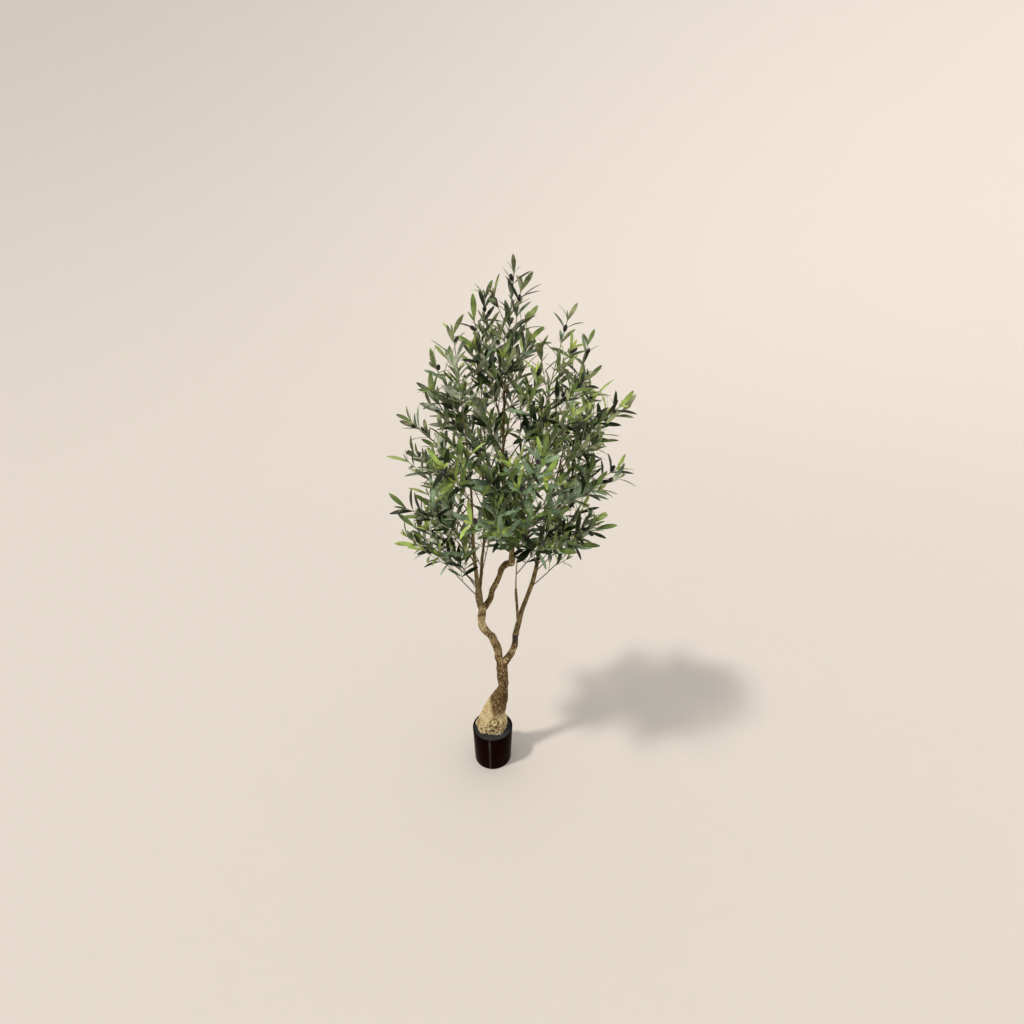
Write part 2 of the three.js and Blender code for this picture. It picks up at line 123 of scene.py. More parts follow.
def newPiece(name, points, faces=(), edges=(), material=None):
    mesh = bpy.data.meshes.new(name)
    mesh.from_pydata((np.asarray(points) * mm).tolist(), edges, faces)
    if material:
        mesh.materials.append(material)
    piece = bpy.data.objects.new(name, mesh)
    bpy.context.scene.collection.objects.link(piece)
    return piece


treeNotes = ("kind", "facing", "size", "girth")  # attributes that only the geometry trees read


def applyTree(piece, tree, values):  # what the tree makes of the piece becomes its plain mesh
    modifier = piece.modifiers.new(tree.name, "NODES")
    modifier.node_group = tree
    for socket in tree.interface.items_tree:
        if socket.in_out == "INPUT" and socket.name in values:
            modifier[socket.identifier] = values[socket.name]
    graph = bpy.context.evaluated_depsgraph_get()
    made = bpy.data.meshes.new_from_object(piece.evaluated_get(graph), preserve_all_data_layers=True,
                                           depsgraph=graph)
    piece.modifiers.clear()
    spare = piece.data
    piece.data = made
    bpy.data.meshes.remove(spare)
    made.name = piece.name
    for label in treeNotes:
        if label in made.attributes:
            made.attributes.remove(made.attributes[label])


def unit(vector):
    return vector / np.linalg.norm(vector)


def lerp(low, high, share):
    return low + (high - low) * share


# Limbs: the solids' own waypoints, x, y, z and girth

limbs = {
    "trunk": [(-4, 5, 112, 68), (-2, 5, 142, 63), (4, 6, 197, 48), (9, 8, 233, 38), (23, 10, 268, 32),
              (38, 12, 303, 23.5), (43, 12, 325, 19.5), (41, 10, 377, 19.5), (38, 8, 418, 20.5),
              (35, 6, 455, 14)],
    "stem_lower": [(34, 6, 430, 14), (27, 5, 465, 14.2), (23, 2, 504, 14.8), (15, -4, 539, 14.6),
                   (5, -9, 568, 13.8), (-13, -14, 591, 13), (-28, -18, 616, 13.4), (-32, -18, 644, 13.5),
                   (-29, -13, 672, 13.6), (-26, -8, 702, 9.5)],
    "stem_upper": [(-26, -9, 682, 11), (-10, -4, 706, 11.2), (2, 3, 728, 10.4), (7, 8, 750, 11),
                   (20, 14, 777, 9.9), (33, 20, 806, 10.3), (42, 24, 830, 11), (58, 26, 845, 10.6),
                   (79, 26, 850, 10)],
    "leader": [(73, 26, 846, 8.4), (76, 24, 899, 8.2), (59, 16, 1013, 7.5), (49, 3, 1180, 6.6),
               (50, -3, 1330, 5.6), (56, -6, 1480, 4.2)],
    "left_bough": [(-30, -9, 686, 9.4), (-37, -14, 716, 10), (-39, -20, 747, 10.2), (-39, -27, 782, 7.4)],
    "left_outer": [(-40, -28, 770, 6.2), (-45, -35, 840, 6), (-50, -46, 930, 6.3), (-51, -56, 1008, 5.8),
                   (-50, -80, 1165, 4.6), (-58, -100, 1308, 3.4)],
    "left_inner": [(-36, -24, 768, 5), (-30, 2, 820, 5.2), (-28, 24, 864, 5), (-22, 48, 915, 4.6),
                   (-21, 90, 1059, 4.2), (-33, 120, 1228, 3.3)],
    "right_stub": [(40, 7, 434, 12.5), (58, 10, 458, 14.3), (74, 14, 480, 14), (84, 18, 505, 12),
                   (88, 22, 533, 9.6), (88, 24, 553, 9.4)],
    "right_bough": [(88, 24, 548, 9), (97, 26, 588, 9), (111, 30, 650, 7.9), (126, 34, 694, 7.7),
                    (149, 44, 760, 8.2), (162, 54, 812, 8), (186, 80, 950, 6.8), (229, 110, 1125, 5),
                    (256, 126, 1250, 3.6)],
    "right_upright": [(99, 26, 604, 4.8), (93, 8, 700, 4.6), (90, -6, 759, 4.4), (91, -26, 845, 3.6),
                      (102, -70, 1012, 3.2), (124, -110, 1190, 2.9)],
}
headingStep = 0.005


class Path:  # a sampled line with a girth, read by the share of its length
    def __init__(self, points, girths):
        self.points = np.array(points, float)
        self.girths = np.array(girths, float)
        steps = np.linalg.norm(np.diff(self.points, axis=0), axis=1)
        self.run = np.concatenate(([0], np.cumsum(steps)))
        self.length = self.run[-1]

    def at(self, share):
        run = np.asarray(share) * self.length
        return np.stack([np.interp(run, self.run, axis) for axis in self.points.T], axis=-1)

    def girth(self, share):
        return np.interp(np.asarray(share) * self.length, self.run, self.girths)

    def heading(self, share):
        return unit(self.at(min(1, share + headingStep)) - self.at(max(0, share - headingStep)))

    def sampled(self, step):  # places along it and the girths there
        shares = np.arange(0, 1, step / self.length)
        return self.at(shares), self.girth(shares)


def throughPoints(waypoints, perSpan=24):  # a centripetal Catmull-Rom line, as the solids have
    places = np.array(waypoints, float)[:, :3]
    girths = np.array(waypoints, float)[:, 3]
    ends = np.vstack([2 * places[0] - places[1], places, 2 * places[-1] - places[-2]])
    share = np.linspace(0, 1, perSpan, endpoint=False)[:, None]
    line = []
    for before, start, end, after in zip(ends, ends[1:], ends[2:], ends[3:]):
        gaps = [np.linalg.norm(b - a) ** 0.5 for a, b in ((before, start), (start, end), (end, after))]
        leave = (start - before) / gaps[0] - (end - before) / (gaps[0] + gaps[1]) + (end - start) / gaps[1]
        arrive = (end - start) / gaps[1] - (after - start) / (gaps[1] + gaps[2]) + (after - end) / gaps[2]
        leave, arrive = leave * gaps[1], arrive * gaps[1]
        line.append(start + leave * share + (3 * end - 3 * start - 2 * leave - arrive) * share ** 2
                    + (2 * start - 2 * end + leave + arrive) * share ** 3)
    line.append(places[-1:])
    index = np.linspace(0, len(places) - 1, perSpan * (len(places) - 1) + 1)
    return Path(np.vstack(line), np.interp(index, np.arange(len(places)), girths))


def arching(start, bend, tip, girthFrom, girthTo, steps):  # a quadratic curve
    share = np.linspace(0, 1, steps + 1)[:, None]
    points = (1 - share) ** 2 * start + 2 * share * (1 - share) * bend + share ** 2 * tip
    return Path(points, lerp(girthFrom, girthTo, share[:, 0]))


def acrossFrame(path, share, turn=0):  # directions along and across a path
    chord = path.points[-1] - path.points[0]
    side = np.array((1.0, 0, 0) if abs(chord[0]) < abs(chord[1]) else (0, 1.0, 0))
    heading = path.heading(share)
    normal = unit(side - heading * (side @ heading))
    binormal = np.cross(heading, normal)
    c, s = math.cos(math.radians(turn)), math.sin(math.radians(turn))
    return heading, normal * c + binormal * s, binormal * c - normal * s


def leaning(directions, angle, roll):  # at an angle to the path, rolled round it
    heading, normal, binormal = directions
    angle, roll = math.radians(angle), math.radians(roll)
    across = normal * math.cos(roll) + binormal * math.sin(roll)
    return heading * math.cos(angle) + across * math.sin(angle)


limbPaths = {name: throughPoints(waypoints) for name, waypoints in limbs.items()}


# Shells: rings of points, skinned over

def roundAngles(sides):
    return np.arange(sides) * 2 * math.pi / sides


def skin(rings, first=None, last=None, looped=False):  # quads between rings, and a fan to each end's point
    sides = len(rings[0])
    points = [point for each in rings for point in each]
    total = len(points)
    faces = []
    for k in range(len(rings) if looped else len(rings) - 1):
        for i in range(sides):
            a, b = k * sides + i, k * sides + (i + 1) % sides
            faces.append((a, b, (b + sides) % total, (a + sides) % total))
    for pole, start, turn in ((first, 0, -1), (last, total - sides, 1)):
        if pole is not None:
            for i in range(sides):
                edge = (start + i, start + (i + 1) % sides)
                faces.append((len(points), *edge[::turn]))
            points.append(pole)
    return points, faces


def lathe(profile, sides):  # radius and height turned round the axis, closed where the profile ends on it
    rings = [[(r * math.cos(a), r * math.sin(a), z) for a in roundAngles(sides)] for r, z in profile if r]
    return skin(rings, *[None if r else (0, 0, z) for r, z in (profile[0], profile[-1])])


def arc(centre, radius, fromAngle, toAngle, steps=6):
    angles = np.radians(np.linspace(fromAngle, toAngle, steps + 1))
    return [(centre[0] + radius * math.cos(a), centre[1] + radius * math.sin(a)) for a in angles]


def tube(path, sides, step, lobes=0, lobeDepth=0, depthRatio=1):  # closed, flat at both ends
    count = max(2, round(path.length / step))
    angles = roundAngles(sides)
    rings = []
    for share in np.arange(count + 1) / count:
        _, normal, binormal = acrossFrame(path, share)
        reach = path.girth(share) * (1 + lobeDepth * (1 - share) ** 3 * np.cos(lobes * angles))
        out = np.cos(angles)[:, None] * normal + np.sin(angles)[:, None] * binormal
        out[:, 1] *= lerp(depthRatio, 1, min(1, 2 * share))
        rings.append(path.at(share) + out * reach[:, None])
    return skin(rings, path.at(0), path.at(1))


def torus(centre, facing, radius, thickness, around, sides):
    facing = unit(np.array(facing, float))
    across = unit(np.cross(facing, (0, 0, 1)))
    rise = np.cross(across, facing)
    rings = []
    for a in roundAngles(around):
        out = across * math.cos(a) + rise * math.sin(a)
        rings.append([np.array(centre) + out * (radius + thickness * math.cos(b))
                      - facing * thickness * math.sin(b) for b in roundAngles(sides)])
    return skin(rings, looped=True)


def joined(parts):
    points, faces = [], []
    for partPoints, partFaces in parts:
        faces.extend(tuple(i + len(points) for i in face) for face in partFaces)
        points.extend(partPoints)
    return points, faces


# Camera, floor and light

view = {"place": (76.3, -1488, 1595), "pitchDown": 20.2, "lens": 16.875, "sensor": 36}
camera = bpy.data.objects.new("camera", bpy.data.cameras.new("camera"))
camera.data.lens = view["lens"]
camera.data.sensor_width = view["sensor"]
camera.location = [v * mm for v in view["place"]]
camera.rotation_euler = (math.radians(90 - view["pitchDown"]), 0, 0)
bpy.context.scene.collection.objects.link(camera)
bpy.context.scene.camera = camera
bpy.context.scene.view_settings.view_transform = "Standard"

studio = {"flat": 5000, "sweep": 14000, "sweepSteps": 24, "wallTop": 25000, "sides": 96, "colour": "#ebe7e2",
          "roughness": 0.85, "glow": 0.13, "world": "#fffdfa", "worldStrength": 0.51}


def makeStudioPaint():  # matte emulsion, faintly lit from behind where the backdrop stands upright
    colour = linear(studio["colour"])
    material, tree, shader, place = newMaterial(
        "matte studio paint", Base_Color=colour, Emission_Color=colour, Roughness=studio["roughness"])
    height = addNode(tree, "ShaderNodeSeparateXYZ", {0: place}).outputs["Z"]
    glow = addNode(tree, "ShaderNodeMapRange", {"Value": height, 2: studio["sweep"] * mm, 4: studio["glow"]})
    tree.links.new(glow.outputs[0], shader.inputs["Emission Strength"])
    material.cycles.emission_sampling = "NONE"  # a faint glow, not a lamp
    return material


def makeStage(name, profile, paint):  # part of the round backdrop, seen from inside
    piece = newPiece(name, *lathe(profile, studio["sides"]), material=paint)
    piece.data.flip_normals()
    piece.data.shade_smooth()
    piece.visible_shadow = False  # it doesn't shade itself
    return piece


studioPaint = makeStudioPaint()
sweep = arc((studio["flat"], studio["sweep"]), studio["sweep"], -90, 0, studio["sweepSteps"])
wallRadius = studio["flat"] + studio["sweep"]
makeStage("floor", [(0, 0), *sweep], studioPaint)
wall = makeStage("wall", [(wallRadius, studio["sweep"]), (wallRadius, studio["wallTop"])], studioPaint)
wall.visible_diffuse = False  # the light comes in through it

world = bpy.data.worlds.new("studio")
world.use_nodes = True
world.node_tree.nodes["Background"].inputs["Color"].default_value = linear(studio["world"])
world.node_tree.nodes["Background"].inputs["Strength"].default_value = studio["worldStrength"]
bpy.context.scene.world = world

keyLight = {"from": (-0.88, -0.46, 1.5), "softness": 6, "strength": 1.4, "colour": "#fff4e6"}
lamp = bpy.data.objects.new("key", bpy.data.lights.new("key", "SUN"))
lamp.data.angle = math.radians(keyLight["softness"])
lamp.data.energy = keyLight["strength"]
lamp.data.color = linear(keyLight["colour"])[:3]
lamp.rotation_euler = Vector(keyLight["from"]).to_track_quat("Z", "Y").to_euler()
bpy.context.scene.collection.objects.link(lamp)
print("camera, floor and light set")


# Surface relief: grain of a width and stretch, knobs, and creased lumps low down, noted for the finish as
# painted shade, darker in the creases and paler on the raised grain

reliefSizes = ("Grain width", "Grain depth", "Knob width", "Knob depth",
               "Lump width", "Lump depth", "Lump bottom", "Lump top")
reliefWaves = {"Grain": (3.5, 0.4), "Knob": (0.0, 0.4), "Lump": (1.0, 1.3)}  # detail and twist
reliefShape = {"roughness": 0.6, "creaseWidth": 0.13, "creaseBottom": -0.3, "creaseTop": 0.18,
               "paintedCreaseShade": 1.5}
noRelief = {"width": 1000, "depth": 0, "bottom": -200, "top": -100}  # for a size that a piece leaves out


def makeReliefTree():
    tree, given = newTree("surfaceRelief", {
        **{label: "Float" for label in reliefSizes}, "Grain stretch": "Float", "Material": "Material"})
    place = addNode(tree, "GeometryNodeInputPosition")
    squeeze = addNode(tree, "ShaderNodeMath", {0: 1.0, 1: given["Grain stretch"]}, operation="DIVIDE")
    stretch = addNode(tree, "ShaderNodeCombineXYZ", {0: 1.0, 1: 1.0, 2: squeeze})
    grainPlace = addNode(tree, "ShaderNodeVectorMath", {0: place, 1: stretch}, operation="MULTIPLY")
    waves = {}
    for label, (detail, twist) in reliefWaves.items():
        scale = addNode(tree, "ShaderNodeMath", {0: 1.0, 1: given[label + " width"]}, operation="DIVIDE")
        noise = addNode(tree, "ShaderNodeTexNoise", {
            "Vector": grainPlace if label == "Grain" else place, "Scale": scale, "Detail": detail,
            "Roughness": reliefShape["roughness"], "Distortion": twist})
        waves[label] = addNode(tree, "ShaderNodeMath", {0: noise, 1: 0.5}, operation="SUBTRACT")
    height = addNode(tree, "ShaderNodeSeparateXYZ", {0: place}).outputs["Z"]
    low = addNode(tree, "ShaderNodeMapRange", {
        "Value": height, 1: given["Lump bottom"], 2: given["Lump top"], 3: 1.0, 4: 0.0},
        interpolation_type="SMOOTHSTEP")
    folds = addNode(tree, "ShaderNodeMath", {0: waves["Lump"]}, operation="ABSOLUTE")
    creases = addNode(tree, "ShaderNodeMapRange", {
        "Value": folds, 2: reliefShape["creaseWidth"], 3: reliefShape["creaseBottom"],
        4: reliefShape["creaseTop"]})
    lumps = addNode(tree, "ShaderNodeMath", {0: creases, 1: low}, operation="MULTIPLY")
    rise = 0.0
    for wave, label in ((waves["Grain"], "Grain"), (waves["Knob"], "Knob"), (lumps, "Lump")):
        rise = addNode(tree, "ShaderNodeMath", {0: wave, 1: given[label + " depth"], 2: rise},
                       operation="MULTIPLY_ADD")
    # painted shade: the creases are noted darker and the raised grain paler, for the bark's colour
    tone = addNode(tree, "ShaderNodeMath", {0: lumps, 1: reliefShape["paintedCreaseShade"], 2: waves["Grain"]},
                   operation="MULTIPLY_ADD")
    normal = addNode(tree, "GeometryNodeInputNormal")
    shift = addNode(tree, "ShaderNodeVectorMath", {0: normal, "Scale": rise}, operation="SCALE")
    noted = addNode(tree, "GeometryNodeStoreNamedAttribute", {
        "Geometry": given["Geometry"], "Name": "relief", "Value": tone}, domain="POINT")
    moved = addNode(tree, "GeometryNodeSetPosition", {"Geometry": noted, "Offset": shift})
    return endTree(tree, moved, given["Material"])


def addRelief(piece, sizes, material):  # sizes in millimetres, but for the stretch
    values = {"Grain stretch": sizes["grainStretch"], "Material": material}
    for label in reliefSizes:
        wave, measure = label.split()
        values[label] = sizes.get(wave.lower() + measure.capitalize(), noRelief[measure]) * mm
    applyTree(piece, reliefTree, values)


reliefTree = makeReliefTree()


# Pot: injection-moulded polypropylene, black, near mirror smooth

sharpAngle = math.radians(50)  # edges beyond it stay crisp
# the second pot colour is the colour of the painted highlight streak
pot = {"topRadius": 78, "baseRadius": 72, "height": 150, "wall": 2.4, "floor": 4, "foot": 3.5, "rim": 1.1,
       "rimSteps": 4, "sides": 96, "colours": ("#150403", "#4b4647"), "highlightAt": -96.5, "highlightWidth": 8,
       "scuff": 30, "waviness": 0.12, "sheen": (0.15, 0.3)}


def makePotPlastic():  # smooth gloss, with a painted highlight: a pale streak down the front and the back, broken up by scuffs
    material, tree, shader, place = newMaterial("black polypropylene", IOR=1.49, Specular_IOR_Level=0.01)
    # painted highlight: a soft pale vertical streak where the pot faces front and back, broken up by the
    # scuffs noise
    turned = addNode(tree, "ShaderNodeMapping", {
        "Vector": place, "Rotation": (0, 0, math.radians(90 - pot["highlightAt"]))}, vector_type="POINT")
    offHighlight = addNode(tree, "ShaderNodeSeparateXYZ", {0: turned}).outputs["X"]
    away = addNode(tree, "ShaderNodeMath", {0: offHighlight}, operation="ABSOLUTE")
    line = addNode(tree, "ShaderNodeMapRange", {"Value": away, 2: pot["highlightWidth"] * mm, 3: 1.0, 4: 0.0},
                   interpolation_type="SMOOTHERSTEP")
    scuffs = addNode(tree, "ShaderNodeTexNoise", {
        "Vector": place, "Scale": 1 / (pot["scuff"] * mm), "Detail": 3.0})
    paintedHighlight = addNode(tree, "ShaderNodeMath", {0: line, 1: scuffs}, operation="MULTIPLY")
    giveColour(tree, shader, paintedHighlight, pot["colours"])
    giveGrain(tree, shader, scuffs, pot["waviness"], pot["sheen"])
    return material


def makePot():
    slope = math.degrees(math.atan2(pot["topRadius"] - pot["baseRadius"], pot["height"]))
    foot, rim, height = pot["foot"], pot["rim"], pot["height"]
    inner = pot["topRadius"] - pot["wall"]
    innerFoot = pot["baseRadius"] - pot["wall"]
    profile = [(0, 0), *arc((pot["baseRadius"] - foot, foot), foot, -90, -slope),
               *arc((pot["topRadius"] - rim, height - rim), rim, -slope, 90, pot["rimSteps"]),
               *arc((inner + rim, height - rim), rim, 90, 180 - slope, pot["rimSteps"]),
               (innerFoot, pot["floor"]), (0, pot["floor"])]
    piece = newPiece("nursery_pot", *lathe(profile, pot["sides"]), material=makePotPlastic())
    piece.data.shade_smooth()
    piece.data.set_sharp_from_angle(angle=sharpAngle)
    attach(piece, "root")
    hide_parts("pot")


makePot()
print("pot made")


# Cement round the foot of the trunk

cement = {"level": 142, "bottom": 4.3, "radius": 75.2, "footRadius": 69, "rings": 26, "sides": 80,
          "grainWidth": 5, "grainStretch": 1.0, "grainDepth": 1.2,  # coarser than real grit, to show
          "colours": ("#2f3134", "#45474b"), "blotch": 5, "detail": 5.0, "uneven": 0.7, "bump": 0.8,
          "sheen": (0.85, 0.97)}


def makeCement():  # trowelled flat, matte, with faint dust in its grain
    top = [(cement["radius"] * (1 - k / cement["rings"]), cement["level"]) for k in range(cement["rings"])]
    profile = [(0, cement["bottom"]), (cement["footRadius"], cement["bottom"]), *top, (0, cement["level"])]
    piece = newPiece("cement_fill", *lathe(profile, cement["sides"]))
    addRelief(piece, cement, makeBlotched("cement", cement, cement["colours"], Specular_IOR_Level=0.2))
    piece.data.set_sharp_from_angle(angle=sharpAngle)
    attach(piece, "root")
    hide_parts("pot_fill")


makeCement()
print("cement made")


# Bark of the moulded trunk

bark = {"rootTop": 222, "buttressTop": 305, "buttressEdge": 9, "buttressFade": 9, "ragged": 26, "wander": 40,
        "trunkFrom": -4, "trunkFull": 44, "mottle": 22, "fleck": 3.6, "fleckStretch": 2.6, "fleckDepth": 1.5,
        "reliefShadeTone": 0.6, "mottleTone": 0.3, "fleckTone": 0.75, "spotCore": 0.3, "sheen": (0.6, 0.85),
        "voxel": 1.7, "soften": 0.5, "softenTimes": 4,
        "grainWidth": 5, "grainStretch": 2.4, "grainDepth": 5.5, "knobWidth": 34, "knobDepth": 7,
        "lumpWidth": 14, "lumpDepth": 7.5, "lumpBottom": 165, "lumpTop": 222}
# tone stops from crevice to ridge; the relief's painted shade drives the darkest into the crevices and the
# palest onto the ridges
trunkTones = [(0.32, "#1f1407"), (0.45, "#473318"), (0.56, "#6d552e"), (0.76, "#cdba8e"), (0.9, "#e6dab6")]
rootTones = [(0.22, "#1f1407"), (0.36, "#80693a"), (0.5, "#c9b585"), (0.68, "#e6dab6")]
barkSpots = [  # x, y, z, radius and how much paler
    (42, -9, 461, 24, 0.15), (-38, -26, 632, 46, 0.08), (-12, -12, 600, 120, 0.08), (-30, -22, 694, 26, 0.1),
    (80, 22, 850, 15, 0.2), (82, 8, 496, 26, 0.08), (24, -12, 500, 34, 0.1), (44, 0, 300, 30, -0.04),
    (14, 2, 765, 70, 0.06), (9, -35, 194, 25, -0.2), (9, -35, 194, 17, 0.3), (9, -35, 194, 5, -0.16)]
rootFlare = [(-4, 5, 139, 63.5), *limbs["trunk"][2:]]
flareTube = {"sides": 40, "step": 5, "lobes": 5, "lobeDepth": 0.09, "depthRatio": 0.76}
innerTrunk = [(26, 0, 200, 17), (28, 3, 235, 26), (34, 9, 268, 25.5), *limbs["trunk"][5:]]
innerTube = {"sides": 32, "step": 5}
stemTube = {"sides": 24, "step": 4}
knot = {"centre": (9, -33, 194), "facing": (0.1, -1, 0.2), "radius": 9, "thickness": 6, "around": 20,
        "sides": 8}
sockets = [  # lips of bark round the feet of the left bough and the leader
    [(-28, -10, 676, 12.5), (-28, -12, 691, 14.2), (-35, -15, 706, 12)],
    [(74, 26, 838, 9), (75, 26, 848, 12.5), (75.5, 25.5, 868, 11.8)]]


def makeTrunkBark():  # moulded resin: straw flecks, a paler rubbed root, and painted shade from the relief, brown in the crevices and pale on the ridges
    material, tree, shader, place = newMaterial("moulded resin bark", Specular_IOR_Level=0.3)
    parts = addNode(tree, "ShaderNodeSeparateXYZ", {0: place}).outputs
    # painted shade: the relief noted by the geometry darkens the crevices and lightens the ridges
    relief = addNode(tree, "ShaderNodeAttribute", attribute_name="relief").outputs["Fac"]
    mottle = addNode(tree, "ShaderNodeTexNoise", {
        "Vector": place, "Scale": 1 / (bark["mottle"] * mm), "Detail": 4.0, "Roughness": 0.62})
    fleckPlace = addNode(tree, "ShaderNodeVectorMath", {0: place, 1: (1, 1, 1 / bark["fleckStretch"])},
                         operation="MULTIPLY")
    flecks = addNode(tree, "ShaderNodeTexNoise", {
        "Vector": fleckPlace, "Scale": 1 / (bark["fleck"] * mm), "Detail": 3.0, "Roughness": 0.65})
    tone = 0.0
    for pattern, share in ((relief, "reliefShadeTone"), (mottle, "mottleTone"), (flecks, "fleckTone")):
        tone = addNode(tree, "ShaderNodeMath", {0: pattern, 1: bark[share], 2: tone},
                       operation="MULTIPLY_ADD")
    for x, y, z, radius, paler in barkSpots:
        away = addNode(tree, "ShaderNodeVectorMath", {0: place, 1: (x * mm, y * mm, z * mm)},
                       operation="DISTANCE").outputs["Value"]
        patch = addNode(tree, "ShaderNodeMapRange", {
            "Value": away, 1: radius * bark["spotCore"] * mm, 2: radius * mm, 3: paler, 4: 0.0},
            interpolation_type="SMOOTHSTEP")
        tone = addNode(tree, "ShaderNodeMath", {0: tone, 1: patch}, operation="ADD")
    trunkColour = addNode(tree, "ShaderNodeValToRGB", {"Fac": tone}, trunkTones)
    rootColour = addNode(tree, "ShaderNodeValToRGB", {"Fac": tone}, rootTones)
    ragged = addNode(tree, "ShaderNodeMath", {0: flecks, 1: bark["ragged"] * mm, 2: parts["X"]},
                     operation="MULTIPLY_ADD")
    edge, fade = bark["buttressEdge"], bark["buttressFade"]
    buttress = addNode(tree, "ShaderNodeMapRange", {
        "Value": ragged, 1: (edge - fade) * mm, 2: (edge + fade) * mm, 3: bark["buttressTop"] * mm,
        4: bark["rootTop"] * mm})
    wander = addNode(tree, "ShaderNodeMath", {0: mottle, 1: bark["wander"] * mm, 2: parts["Z"]},
                     operation="MULTIPLY_ADD")
    above = addNode(tree, "ShaderNodeMath", {0: wander, 1: buttress}, operation="SUBTRACT")
    isTrunk = addNode(tree, "ShaderNodeMapRange", {
        "Value": above, 1: bark["trunkFrom"] * mm, 2: bark["trunkFull"] * mm},
        interpolation_type="SMOOTHSTEP")
    giveColour(tree, shader, isTrunk, (rootColour, trunkColour))
    giveGrain(tree, shader, flecks, bark["fleckDepth"], bark["sheen"])
    return material


def makeTrunk():  # overlapping shells under one skin
    stems = [limbPaths[name] for name in ("stem_lower", "stem_upper", "right_stub")]
    shells = [tube(throughPoints(rootFlare), **flareTube), tube(throughPoints(innerTrunk), **innerTube),
              *[tube(stem, **stemTube) for stem in stems], torus(**knot),
              *[tube(throughPoints(socket), **stemTube) for socket in sockets]]
    piece = newPiece("trunk_and_stems", *joined(shells))
    remesh = piece.modifiers.new("oneSkin", "REMESH")
    remesh.mode = "VOXEL"
    remesh.voxel_size = bark["voxel"] * mm
    soften = piece.modifiers.new("soften", "SMOOTH")
    soften.factor = bark["soften"]
    soften.iterations = bark["softenTimes"]
    addRelief(piece, bark, makeTrunkBark())
    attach(piece, "root")
    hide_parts("trunk", "stem_lower", "stem_upper", "right_stub")
    print("trunk and stems made:", len(piece.data.polygons), "faces")


# Boughs, wire-cored, and the collar that the right one is plugged into

boughs = {"names": ("leader", "left_bough", "left_outer", "left_inner", "right_bough", "right_upright"),
          "sides": 14, "step": 4, "fuller": (1.22, 0.5), "dividingFuller": (1.15, 1.35), "sleeveEnd": 0.27,
          "thinner": 0.55, "streak": 22, "streakTone": 0.5, "streakDepth": 0.8, "sheen": (0.6, 0.8),
          "grainWidth": 3.2, "grainStretch": 7.0, "grainDepth": 2.4, "knobWidth": 40, "knobDepth": 1.6}
boughTones = [(0.1, "#48391f"), (0.28, "#75653e"), (0.46, "#a08d5d")]
collar = {"from": 0.8, "over": 11, "proud": 1.2, "tucked": 2, "sides": 28, "step": 1.5,
          "colours": ("#2b2013", "#bba97f"), "chips": 4, "edge": 6, "chipping": (0.2, 0.52),
          "chipFrom": 0.82, "chipFull": 1.0, "chipDepth": 0.5, "sheen": (0.5, 0.7),
          "grainWidth": 3, "grainStretch": 1.5, "grainDepth": 1.2}


def boughPath(name):  # the solid's line, fuller at its foot and finer at its tip
    path = limbPaths[name]
    share = path.run / path.length
    girths = path.girths * lerp(*boughs["dividingFuller" if name == "left_bough" else "fuller"], share)
    if name == "right_upright":  # its sleeve ends in a step
        girths *= np.where(share < boughs["sleeveEnd"], 1, boughs["thinner"])
    return Path(path.points, girths)


def makeCollarResin(top):  # dark and dull, chipped pale at its rim
    material, tree, shader, place = newMaterial("dark resin collar")
    height = addNode(tree, "ShaderNodeSeparateXYZ", {0: place}).outputs["Z"]
    low, high = collar["chipping"]
    rim = addNode(tree, "ShaderNodeMapRange", {
        "Value": height, 1: (top - collar["edge"]) * mm, 2: top * mm, 3: low, 4: high})
    chips = addNode(tree, "ShaderNodeTexNoise", {
        "Vector": place, "Scale": 1 / (collar["chips"] * mm), "Detail": 2.0})
    pale = addNode(tree, "ShaderNodeMath", {0: rim, 1: chips}, operation="ADD")
    share = addNode(tree, "ShaderNodeMapRange", {"Value": pale, 1: collar["chipFrom"], 2: collar["chipFull"]})
    giveColour(tree, shader, share, collar["colours"])
    giveGrain(tree, shader, chips, collar["chipDepth"], collar["sheen"])
    return material


def makeCollar():  # round the top of the stub and the foot of the bough
    stub, bough = limbPaths["right_stub"], boughPath("right_bough")
    stubTop = stub.points[-1][2]
    shares = np.linspace(collar["from"], 1, 12)
    overlap = (stubTop - bough.points[0][2] + np.linspace(1, collar["over"], 6)) / bough.length
    girths = np.concatenate((stub.girth(shares), bough.girth(overlap))) + collar["proud"]
    girths[0] -= collar["tucked"]
    path = Path(np.vstack((stub.at(shares), bough.at(overlap))), girths)
    piece = newPiece("bough_collar", *tube(path, collar["sides"], collar["step"]))
    addRelief(piece, collar, makeCollarResin(stubTop + collar["over"]))
    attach(piece, "root")


def makeBoughBark():  # resin over wire: brown, streaked lengthways, with painted shade from the relief in its grooves
    material, tree, shader, place = newMaterial("resin bark on wire", Specular_IOR_Level=0.35)
    relief = addNode(tree, "ShaderNodeAttribute", attribute_name="relief").outputs["Fac"]
    streaks = addNode(tree, "ShaderNodeTexNoise", {
        "Vector": place, "Scale": 1 / (boughs["streak"] * mm), "Detail": 3.0})
    # painted shade: the relief darkens the grooves and lightens the raised grain
    tone = addNode(tree, "ShaderNodeMath", {0: streaks, 1: boughs["streakTone"], 2: relief},
                   operation="MULTIPLY_ADD")
    colour = addNode(tree, "ShaderNodeValToRGB", {"Fac": tone}, boughTones)
    tree.links.new(colour.outputs[0], shader.inputs["Base Color"])
    giveGrain(tree, shader, streaks, boughs["streakDepth"], boughs["sheen"])
    return material


def makeBoughs():
    tubes = [tube(boughPath(name), boughs["sides"], boughs["step"]) for name in boughs["names"]]
    piece = newPiece("boughs", *joined(tubes))
    addRelief(piece, boughs, makeBoughBark())
    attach(piece, "root")
    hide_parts(*boughs["names"])
    print("boughs made:", len(piece.data.polygons), "faces")


makeTrunk()
makeCollar()
makeBoughs()


# Crown: the solids' own plan of sprays, then finer twigs and leaves on it

